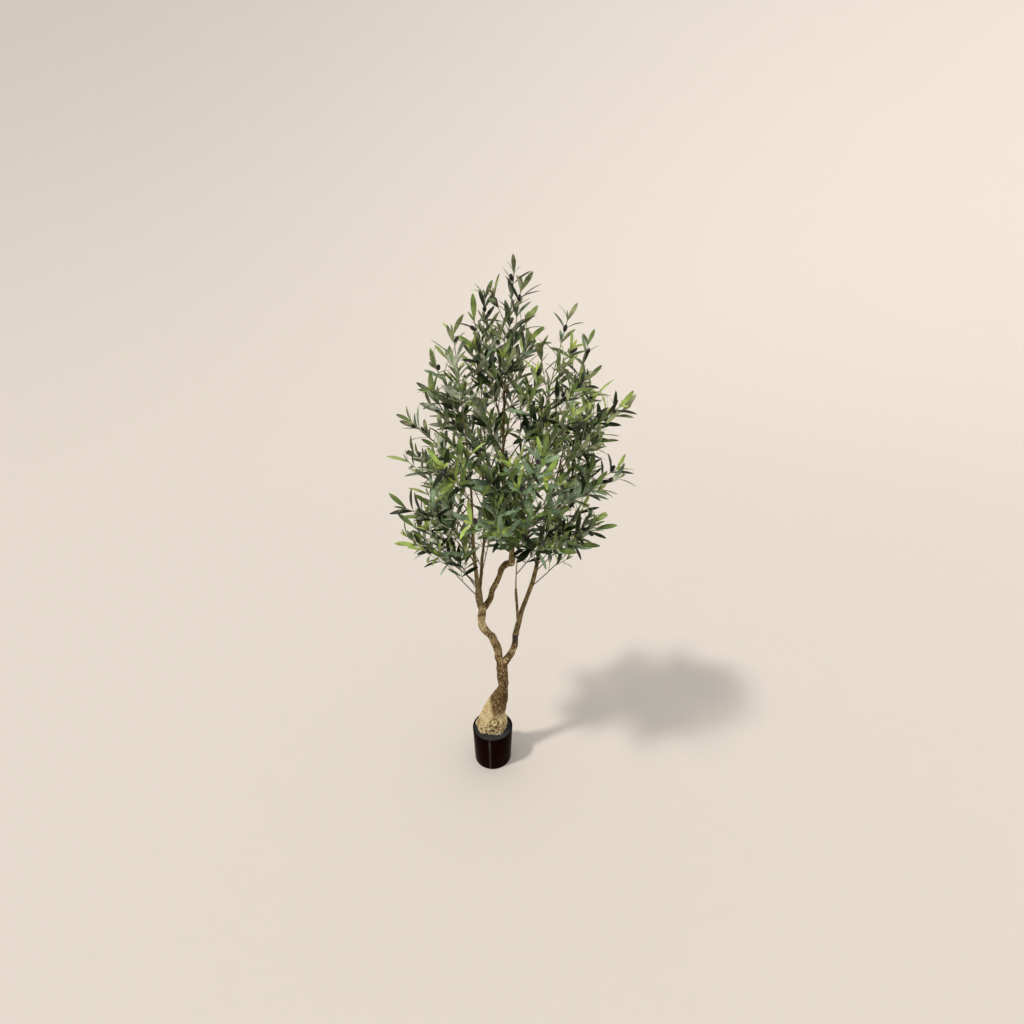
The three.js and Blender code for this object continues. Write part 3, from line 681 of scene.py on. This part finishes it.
crown = {"x": 70, "y": 5, "sway": 24, "baseZ": 790, "widestZ": 1230, "topZ": 1800, "radius": 378,
         "lowPower": 2.2, "topPower": 0.9, "slack": 30}
spray = {"seed": 45, "girth": 3, "arch": 0.04, "clear": 9, "clearFrom": 0.2, "nudge": 7, "tries": 20,
         "endStart": 0.985, "highReach": 1.15, "innerReach": 0.95, "steps": 40, "leafLength": 84,
         "leafOut": (0.6, 0.1), "leafUp": (0.6, 0.9)}  # shares of a leaf past the stem, low and high up
clothed = {  # sprays, share from and to, low and high tip, faces, spread, low reach, end tip, end faces
    "left_outer": (7, 0.05, 0.9, 1010, 1470, 190, 100, 1, 1635, 185),
    "left_inner": (5, 0.16, 0.9, 930, 1560, 130, 120, 1, 1735, 175),
    "right_bough": (7, 0.36, 0.9, 1020, 1450, 10, 110, 1, 1605, 5),
    "right_upright": (6, 0.5, 0.9, 1070, 1520, 300, 120, 0.9, 1675, 345),
    "leader": (9, 0.16, 0.8, 1080, 1755, -20, 360, 0.5, 1800, 180),
}
boughTwigs = [  # finer twigs: bough, count, share from and to, longest, shortest, faces, spread, leafless
    ("left_outer", 5, 0.03, 0.7, 250, 150, 190, 130, 0.42),
    ("left_inner", 4, 0.1, 0.8, 240, 140, 110, 150, 0.36),
    ("right_bough", 6, 0.28, 0.85, 260, 140, 350, 150, 0.42),
    ("right_upright", 4, 0.38, 0.85, 210, 130, 306, 160, 0.3),
    ("leader", 13, 0.06, 0.92, 180, 130, 262, 360, 0.1),
    ("leader", 6, 0.05, 0.12, 110, 90, 265, 210, 0.0),
    ("left_bough", 2, 0.5, 0.8, 300, 270, 180, 60, 0.62),
]
boughTwig = {"angle": 34, "lift": 0.1, "steps": 20}
goldenAngle = 137.508
goldenShare = 0.618034
limbStep, stemStep = 5, 6  # between the places that a stem or a leaf keeps clear of
up = np.array((0, 0, 1.0))
taken = [path.sampled(limbStep) for path in limbPaths.values()]


def seeded(seed):  # a repeatable stream of numbers from 0 to 1
    modulus = 2147483647
    state = (seed * 7919 + 104729) % modulus
    while True:
        state = state * 16807 % modulus
        yield state / modulus


def crownRise(z):
    return (z - crown["widestZ"]) / (crown["topZ"] - crown["widestZ"])


def crownRadius(z):
    if z < crown["widestZ"]:
        below = min(1, (crown["widestZ"] - z) / (crown["widestZ"] - crown["baseZ"]))
        return crown["radius"] * (1 - below ** crown["lowPower"]) ** (1 / crown["lowPower"])
    return crown["radius"] * max(0, 1 - crownRise(z) ** 2) ** crown["topPower"]


def crownCentre(z):
    return crown["x"] + crown["sway"] * math.sin(math.pi * crownRise(z))


def inCrown(place, slack):
    x, y, z = place
    if z > crown["topZ"] + slack:
        return False
    return math.hypot(x - crownCentre(z), y - crown["y"]) < crownRadius(z) + slack


def sprayStem(start, leaving, tipZ, azimuth, reach):
    upright = max(0, crownRise(tipZ))
    radius = crownRadius(tipZ) * reach - spray["leafLength"] * lerp(*spray["leafOut"], upright)
    turn = math.radians(azimuth)
    tip = np.array((crownCentre(tipZ) + radius * math.cos(turn), crown["y"] + radius * math.sin(turn),
                    tipZ - spray["leafLength"] * lerp(*spray["leafUp"], upright)))
    sag = spray["arch"] * np.linalg.norm(tip - start)
    bend = (start + tip) / 2 + (up + leaving) * sag
    return arching(start, bend, tip, spray["girth"], spray["girth"], spray["steps"])


def boughTwigStem(start, leaving, length, azimuth):
    turn, angle = math.radians(azimuth), math.radians(boughTwig["angle"])
    outward = np.array((math.cos(turn), math.sin(turn), 0))
    way = unit(leaving * math.cos(angle) + outward * math.sin(angle))
    tip = start + way * length + up * boughTwig["lift"] * length
    return arching(start, start + way * length / 2, tip, spray["girth"], spray["girth"], boughTwig["steps"])


def fanned(i, faces, spread):  # round by the golden angle, or to either side of where the bough faces
    return faces + (i * goldenAngle if spread == 360 else spread * ((0.5 + i * goldenShare) % 1 - 0.5))


def firstClear(makeStem, azimuth):  # turned until it passes clear of the limbs and earlier stems
    centres, girths = map(np.concatenate, zip(*taken))
    for tries in range(spray["tries"] + 1):
        nudge = spray["nudge"] * math.ceil(tries / 2) * (1 if tries % 2 else -1)
        stem = makeStem(azimuth + nudge)
        along = np.arange(spray["clearFrom"], 1, stemStep / stem.length)
        gaps = np.linalg.norm(stem.at(along)[:, None] - centres[None], axis=2)
        if (gaps - girths - spray["girth"] > spray["clear"]).all():
            break
    taken.append(stem.sampled(stemStep))
    return stem


def planSprays():
    planned = []
    for bough, row in clothed.items():
        count, first, last, lowTip, highTip, faces, spread, lowReach, endTip, endFaces = row
        path = limbPaths[bough]
        for i in range(count + 1):
            rise = i / (count - 1)
            atEnd = i == count
            share = spray["endStart"] if atEnd else lerp(first, last, rise)
            tipZ = endTip if atEnd else lerp(lowTip, highTip, rise)
            reach = 1 if atEnd else min(1, lerp(lowReach, spray["highReach"], rise))
            if not atEnd and i % 2:
                reach *= spray["innerReach"]
            start, leaving = path.at(share), path.heading(share)
            stem = firstClear(lambda azimuth: sprayStem(start, leaving, tipZ, azimuth, reach),
                              endFaces if atEnd else fanned(i, faces, spread))
            planned.append((f"spray_{bough}_{'end' if atEnd else i + 1}", stem))
    return planned


def planBoughTwigs():
    planned = []
    for bough, count, first, last, longest, shortest, faces, spread, leafless in boughTwigs:
        path = limbPaths[bough]
        for i in range(count):
            rise = i / (count - 1)
            share, length = lerp(first, last, rise), lerp(longest, shortest, rise)
            start, leaving = path.at(share), path.heading(share)
            stem = firstClear(lambda azimuth: boughTwigStem(start, leaving, length, azimuth),
                              fanned(i, faces, spread))
            planned.append((stem, leafless))
    return planned


sprays = planSprays()
shortSprays = planBoughTwigs()
print("sprays planned:", len(sprays), "and on the boughs", len(shortSprays))

twigs = {"stemGirth": 1.9, "stemTip": 1.4, "grownOn": 32, "apart": 88, "first": 0.28, "last": 0.62,
         "wander": 0.05, "angle": 36, "angleWander": 14, "rollWander": 40, "length": 0.32, "shorter": 0.1,
         "vary": 0.4, "least": 48, "shrink": 0.85, "upward": 0.35, "lift": 0.07, "girth": 1.4, "tip": 1.0,
         "woodyTo": 0.38, "steps": 6, "sides": 6}
twigFinish = {"blotch": 14, "detail": 2.0, "uneven": 0.5, "bump": 0.4, "sheen": (0.45, 0.65),
              "brown": ("#4f4429", "#6a5c38"), "green": ("#87926c", "#a6ad8b")}
leaves = {"length": 64, "width": 14.5, "thickness": 0.9, "fold": 1.2, "spacing": 38, "pairAt": 0.3,
          "stemLeafless": 0.34, "twigLeafless": 0.14, "upward": 0.12, "baseAngle": 48, "tipAngle": 29,
          "wander": 24, "endWander": 10, "endAt": 0.995, "roll": 36, "twist": 50, "vary": 0.34,
          "tipSize": 1.0, "budSize": 0.5, "clear": 2.5}
leafEnds = (("tip", 0, 27), ("tip", 180, 31), ("bud", 90, 10), ("bud", 270, 12))  # part, roll and angle
leafTones = {  # upper side and underside
    "deep": ("#192a0a", "#8d9c80"), "sea": ("#7a9376", "#c6d0bd"), "olive": ("#61763c", "#a9b38b"),
    "spring": ("#97b15b", "#adc07e"), "bud": ("#abb853", "#bcc378")}
leafMix = {"sea": 0.18, "olive": 0.36, "own": 0.62, "spring": 0.46}  # draws below these take the tone
olives = {"length": 22, "width": 13, "stalk": 6, "stalkGirth": (0.8, 0.7), "nib": 0.6, "rings": 6, "sides": 8,
          "fullness": 0.9, "onStems": 0.85, "onTwigs": 0.14, "share": 0.92, "angle": 34, "least": 0.9,
          "vary": 0.2, "colours": ("#120d14", "#2c2230"), "blotch": 9, "detail": 3.0, "uneven": 0.5,
          "bump": 0.2, "sheen": (0.22, 0.42)}
limbCentres, limbGirths = map(np.concatenate, zip(*[path.sampled(stemStep) for path in limbPaths.values()]))
leafPlaces = {tone: [] for tone in leafTones}
olivePlaces = []
woodyPaths = []
greenPaths = []


def growTwigs(stem, leafless, draw):  # the stem, carried on within the crown, and the twigs that fork off it
    tip, heading, grownOn = stem.points[-1], stem.heading(1), twigs["grownOn"]
    while grownOn > 1 and not inCrown(tip + heading * (grownOn + leaves["length"]), crown["slack"]):
        grownOn *= twigs["shrink"]
    points = np.vstack([stem.points, tip + heading * grownOn])
    stem = Path(points, lerp(twigs["stemGirth"], twigs["stemTip"], np.linspace(0, 1, len(points))))
    bearers = [(stem, leafless)]
    count = max(1, round(stem.length / twigs["apart"]))
    turn = 90 * next(draw)
    firstSide = int(4 * next(draw))
    for k in range(count):
        rise = k / max(1, count - 1)
        share = lerp(twigs["first"], twigs["last"], rise) + twigs["wander"] * (next(draw) - 0.5)
        length = stem.length * (twigs["length"] - twigs["shorter"] * rise)
        length = max(twigs["least"], length * (1 + twigs["vary"] * (next(draw) - 0.5)))
        side = (0, 2, 1, 3)[(k + firstSide) % 4]
        roll = 45 + 90 * side + twigs["rollWander"] * (next(draw) - 0.5)
        angle = twigs["angle"] + twigs["angleWander"] * (next(draw) - 0.5)
        out = unit(leaning(acrossFrame(stem, share, turn), angle, roll) + up * twigs["upward"])
        start = stem.at(share)
        while length > twigs["least"] and not inCrown(start + out * (length + leaves["length"] / 2), 0):
            length *= twigs["shrink"]
        end = start + out * length + up * twigs["lift"] * length
        bend = start + out * length / 2
        twig = arching(start, bend, end, twigs["girth"], twigs["tip"], twigs["steps"])
        bearers.append((twig, leaves["twigLeafless"]))
    return bearers


def growLeaves(path, leafless, draw):  # pairs, each a quarter turn on, and at the tip a pair with a bud
    turn = 90 * next(draw)
    pairs = max(1, round(path.length * (1 - leafless) / leaves["spacing"]))
    for pair in range(pairs):
        share = leafless + (1 - leafless) * (pair + leaves["pairAt"]) / pairs
        for side in (0, 180):
            roll = 90 * pair + side + leaves["roll"] * (next(draw) - 0.5)
            angle = lerp(leaves["baseAngle"], leaves["tipAngle"], share ** 2)
            angle += leaves["wander"] * (next(draw) - 0.5)
            yield share, turn, roll, angle, 1 + leaves["vary"] * (next(draw) - 0.5), "side"
    for part, side, angle in leafEnds:
        size = leaves[part + "Size"] * (1 + leaves["vary"] * (next(draw) - 0.5))
        angle += leaves["endWander"] * (next(draw) - 0.5)
        yield leaves["endAt"], turn, 90 * pairs + side, angle, size, part


def leafFacing(path, share, turn, roll, angle, twist):  # blade across, along and its upper face
    directions = acrossFrame(path, share, turn)
    along = unit(leaning(directions, angle, roll) + up * leaves["upward"])
    face = unit(directions[0] - along * (directions[0] @ along))
    across = np.cross(along, face)
    c, s = math.cos(math.radians(twist)), math.sin(math.radians(twist))
    return np.stack((across * c + face * s, along, face * c - across * s), axis=1)


def growSpray(index, stem, bare):  # twigs, leaves and olives, each dealt its place and tone
    draw = seeded(spray["seed"] + index)
    pick = next(draw)
    ownTone = "sea" if pick < leafMix["sea"] else "olive" if pick < leafMix["olive"] else "deep"
    for number, (path, leafless) in enumerate(growTwigs(stem, bare, draw)):
        cut = 0 if number else np.searchsorted(path.run / path.length, twigs["woodyTo"])
        if cut:
            woodyPaths.append(Path(path.points[:cut + 1], path.girths[:cut + 1]))
        greenPaths.append(Path(path.points[cut:], path.girths[cut:]))
        tipTone = "spring" if next(draw) < leafMix["spring"] else "olive"
        endTones = {"tip": tipTone, "bud": "bud" if tipTone == "spring" else tipTone}
        for share, turn, roll, angle, size, part in growLeaves(path, leafless, draw):
            twist = leaves["twist"] * (next(draw) - 0.5)
            other = next(draw)
            kind = int(3 * next(draw))
            facing = leafFacing(path, share, turn, roll, angle, twist)
            root = path.at(share)
            along = facing[:, 1] * leaves["length"] * size
            gaps = np.linalg.norm(limbCentres - (root + along / 2), axis=1) - limbGirths
            if gaps.min() < leaves["clear"] or not inCrown(root + along, crown["slack"]):
                continue
            sideTone = ownTone if other < leafMix["own"] else ("deep", "sea", "olive")[int(12 * other) % 3]
            leafPlaces[endTones.get(part, sideTone)].append((root, facing, size, kind))
        if index < len(sprays) and next(draw) < (olives["onTwigs"] if number else olives["onStems"]):
            directions = acrossFrame(path, olives["share"])
            along = leaning(directions, olives["angle"], 360 * next(draw))
            side = unit(np.cross(along, directions[0]))
            facing = np.stack((side, along, np.cross(side, along)), axis=1)
            size = olives["least"] + olives["vary"] * next(draw)
            olivePlaces.append((path.at(olives["share"]), facing, size, 0))


for index, (stem, bare) in enumerate([(stem, leaves["stemLeafless"]) for _, stem in sprays] + shortSprays):
    growSpray(index, stem, bare)
print("leaves placed:", {tone: len(places) for tone, places in leafPlaces.items()})


# Twigs

def makeTwigTree():
    tree, given = newTree("roundTwigs", {"Sides": "Int", "Material": "Material"})
    lines = addNode(tree, "GeometryNodeMeshToCurve", {"Mesh": given["Geometry"]})
    section = addNode(tree, "GeometryNodeCurvePrimitiveCircle", {"Resolution": given["Sides"], "Radius": 1.0})
    girth = addNode(tree, "GeometryNodeInputNamedAttribute", {"Name": "girth"}, data_type="FLOAT")
    tubes = addNode(tree, "GeometryNodeCurveToMesh", {
        "Curve": lines, "Profile Curve": section, "Scale": girth, "Fill Caps": True})
    return endTree(tree, tubes, given["Material"])


def makeTwigPiece(name, paths, colour):  # moulded polyethylene: dull sheen, blotched tint
    material = makeBlotched(f"{colour} polyethylene", twigFinish, twigFinish[colour], Specular_IOR_Level=0.4)
    points = np.vstack([path.points for path in paths])
    starts = np.cumsum([0] + [len(path.points) for path in paths])
    edges = [(i, i + 1) for a, b in zip(starts, starts[1:]) for i in range(a, b - 1)]
    piece = newPiece(name, points, edges=edges)
    girth = piece.data.attributes.new("girth", "FLOAT", "POINT")
    girth.data.foreach_set("value", np.concatenate([path.girths for path in paths]) * mm)
    applyTree(piece, twigTree, {"Sides": twigs["sides"], "Material": material})
    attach(piece, "root")
    return piece


twigTree = makeTwigTree()
woody = makeTwigPiece("spray_stems", woodyPaths, "brown")
green = makeTwigPiece("green_twigs", greenPaths, "green")
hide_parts(*[name for name, _ in sprays])
print("twigs made:", len(woody.data.polygons) + len(green.data.polygons), "faces")


# Leaves

leafShape = {"stations": (0.0, 0.08, 0.22, 0.42, 0.63, 0.82, 0.94), "least": 0.1, "belly": 1.35,
             "fullness": 0.7, "sway": 2, "droop": 1.8}
leafBows = {"Flat leaf": (7, -4), "Bowed leaf": (17, 6), "Hooked leaf": (29, -5)}  # bent back and aside
leafFinish = {"veins": 9, "slant": 0.13, "veinDepth": 0.3,  # fewer veins than a real leaf has, to show
              "dye": 60, "dyeSpan": (0.36, 0.64), "dyeValue": (0.32, 1.7), "ribFrom": 0.84, "ribValue": 1.35,
              "coated": (0.3, 0.42), "plain": (0.62, 0.78)}


def makeLeafBlank(name, bow, sway):  # a folded blade, closed, whose tip bends back by bow, aside by sway
    stations = leafShape["stations"]
    fullHalf, thick = leaves["width"] / 2, leaves["thickness"] / 2
    points = []
    for s in stations:
        swell = math.sin(math.pi * s ** leafShape["belly"]) ** leafShape["fullness"]
        half = fullHalf * max(leafShape["least"], swell)
        x, y, z = sway * s ** leafShape["sway"], s * leaves["length"], -bow * s ** leafShape["droop"]
        fold = leaves["fold"] * half / fullHalf
        points += [(x - half, y, z + fold), (x, y, z + thick), (x + half, y, z + fold), (x, y, z - thick)]
    tip = len(points)
    points.append((sway, leaves["length"], -bow))
    faces, under = [(0, 1, 2, 3)], [False]
    for a in range(0, tip, 4):
        for i in range(4):
            j, b = (i + 1) % 4, a + 4
            faces.append((a + j, a + i, tip) if b == tip else (a + j, a + i, b + i, b + j))
            under.append(i > 1)
    blank = newPiece(name, points, faces)
    mesh = blank.data
    rib = [0.0 if i % 2 == 0 and i != tip else 1.0 for i in range(tip + 1)]
    along = [s for s in stations for _ in range(4)] + [1.0]
    mesh.shade_smooth()
    sharp = [all(i % 2 == 0 for i in edge.vertices) for edge in mesh.edges]
    for label, kind, domain, values in (
            ("underside", "BOOLEAN", "FACE", under), ("rib", "FLOAT", "POINT", rib),
            ("along", "FLOAT", "POINT", along), ("sharp_edge", "BOOLEAN", "EDGE", sharp)):
        mesh.attributes.new(label, kind, domain).data.foreach_set("value", values)
    return blank


pointNotes = {"facing": "QUATERNION", "size": "FLOAT", "kind": "INT"}


def makeScatterTree(name, blanks, finishes):  # blanks on points, with a finish for all or for a noted part
    tree, given = newTree(name, {**dict.fromkeys(blanks, "Object"), "Size": "Float",
                                 **dict.fromkeys(finishes, "Material")})
    shapes = [addNode(tree, "GeometryNodeObjectInfo", {"Object": given[label], "As Instance": True})
              for label in blanks]
    choice = addNode(tree, "GeometryNodeJoinGeometry", {0: [shape.outputs["Geometry"] for shape in shapes]})
    facing, own, kind = [addNode(tree, "GeometryNodeInputNamedAttribute", {"Name": label}, data_type=form)
                         for label, form in pointNotes.items()]
    size = addNode(tree, "ShaderNodeMath", {0: own, 1: given["Size"]}, operation="MULTIPLY")
    placed = addNode(tree, "GeometryNodeInstanceOnPoints", {
        "Points": given["Geometry"], "Instance": choice, "Pick Instance": True, "Instance Index": kind,
        "Rotation": facing, "Scale": size})
    made = addNode(tree, "GeometryNodeRealizeInstances", {"Geometry": placed})
    for label, part in finishes.items():
        chosen = True
        if part:
            chosen = addNode(tree, "GeometryNodeInputNamedAttribute", {"Name": part}, data_type="BOOLEAN")
        made = addNode(tree, "GeometryNodeSetMaterial", {
            "Geometry": made, "Selection": chosen, "Material": given[label]})
    addNode(tree, "NodeGroupOutput", {"Geometry": made})
    return tree


def makeLeafCloth(side, tone, colour):  # polyester: soft sheen, paler rib, pressed veins, uneven dye
    material, tree, shader, place = newMaterial(f"{side} polyester {tone}", Specular_IOR_Level=0.3)
    dye = addNode(tree, "ShaderNodeTexNoise", {
        "Vector": place, "Scale": 1 / (leafFinish["dye"] * mm), "Detail": 3.0})
    span, value = leafFinish["dyeSpan"], leafFinish["dyeValue"]
    light = addNode(tree, "ShaderNodeMapRange", {
        "Value": dye, 1: span[0], 2: span[1], 3: value[0], 4: value[1]})
    rib = addNode(tree, "ShaderNodeAttribute", attribute_name="rib").outputs["Fac"]
    vein = addNode(tree, "ShaderNodeMapRange", {
        "Value": rib, 1: leafFinish["ribFrom"], 2: 1.0, 3: 1.0, 4: leafFinish["ribValue"]})
    both = addNode(tree, "ShaderNodeMath", {0: light, 1: vein}, operation="MULTIPLY")
    tint = addNode(tree, "ShaderNodeHueSaturation", {"Color": linear(colour), "Value": both})
    tree.links.new(tint.outputs[0], shader.inputs["Base Color"])
    along = addNode(tree, "ShaderNodeAttribute", attribute_name="along").outputs["Fac"]
    slanted = addNode(tree, "ShaderNodeMath", {0: rib, 1: leafFinish["slant"], 2: along},
                      operation="MULTIPLY_ADD")
    phase = addNode(tree, "ShaderNodeMath", {0: slanted, 1: 2 * math.pi * leafFinish["veins"]},
                    operation="MULTIPLY")
    ripple = addNode(tree, "ShaderNodeMath", {0: phase}, operation="SINE")
    veins = addNode(tree, "ShaderNodeMapRange", {"Value": ripple, 1: -1.0})
    giveGrain(tree, shader, veins, leafFinish["veinDepth"], leafFinish[side])
    return material


def makePointPiece(name, places):  # points that carry each leaf's or olive's facing, size and kind
    roots, facings, sizes, kinds = zip(*places)
    piece = newPiece(name, roots)
    turns = np.array([Matrix(facing.tolist()).to_quaternion() for facing in facings])
    for (label, form), values in zip(pointNotes.items(), (turns.ravel(), sizes, kinds)):
        piece.data.attributes.new(label, form, "POINT").data.foreach_set("value", values)
    return piece


leafTree = makeScatterTree("leavesOnTwigs", leafBows, {"Upper": None, "Underside": "underside"})
leafBlanks = {label: makeLeafBlank(label, *bends) for label, bends in leafBows.items()}
for tone, (upperColour, underColour) in leafTones.items():
    piece = makePointPiece("leaves_" + tone, leafPlaces[tone])
    applyTree(piece, leafTree, {
        **leafBlanks, "Size": 1.0, "Upper": makeLeafCloth("coated", tone, upperColour),
        "Underside": makeLeafCloth("plain", tone, underColour)})
    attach(piece, "root")
    print("leaves made:", tone, len(piece.data.polygons), "faces")
for blank in leafBlanks.values():
    bpy.data.objects.remove(blank)


# Olives

def makeOlives():  # moulded, ripe purple-black under a thin bloom
    half, rings = olives["length"] / 2, olives["rings"]
    middle = olives["stalk"] + half
    profile = [(0, 0), (olives["stalkGirth"][0], 0), (olives["stalkGirth"][1], olives["stalk"])]
    for a in math.pi * np.arange(1, rings + 1) / (rings + 1):
        profile.append((olives["width"] / 2 * math.sin(a) ** olives["fullness"], middle - half * math.cos(a)))
    profile.append((0, middle + half + olives["nib"]))
    points, faces = lathe(profile, olives["sides"])
    blank = newPiece("olive_blank", [(x, z, -y) for x, y, z in points], faces)
    blank.data.shade_smooth()
    piece = makePointPiece("olives", olivePlaces)
    tree = makeScatterTree("olivesOnTwigs", ["Olive"], {"Skin": None})
    skinFinish = makeBlotched("moulded olive", olives, olives["colours"])
    applyTree(piece, tree, {"Olive": blank, "Size": 1.0, "Skin": skinFinish})
    bpy.data.objects.remove(blank)
    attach(piece, "root")
    print("olives made:", len(olivePlaces))


makeOlives()
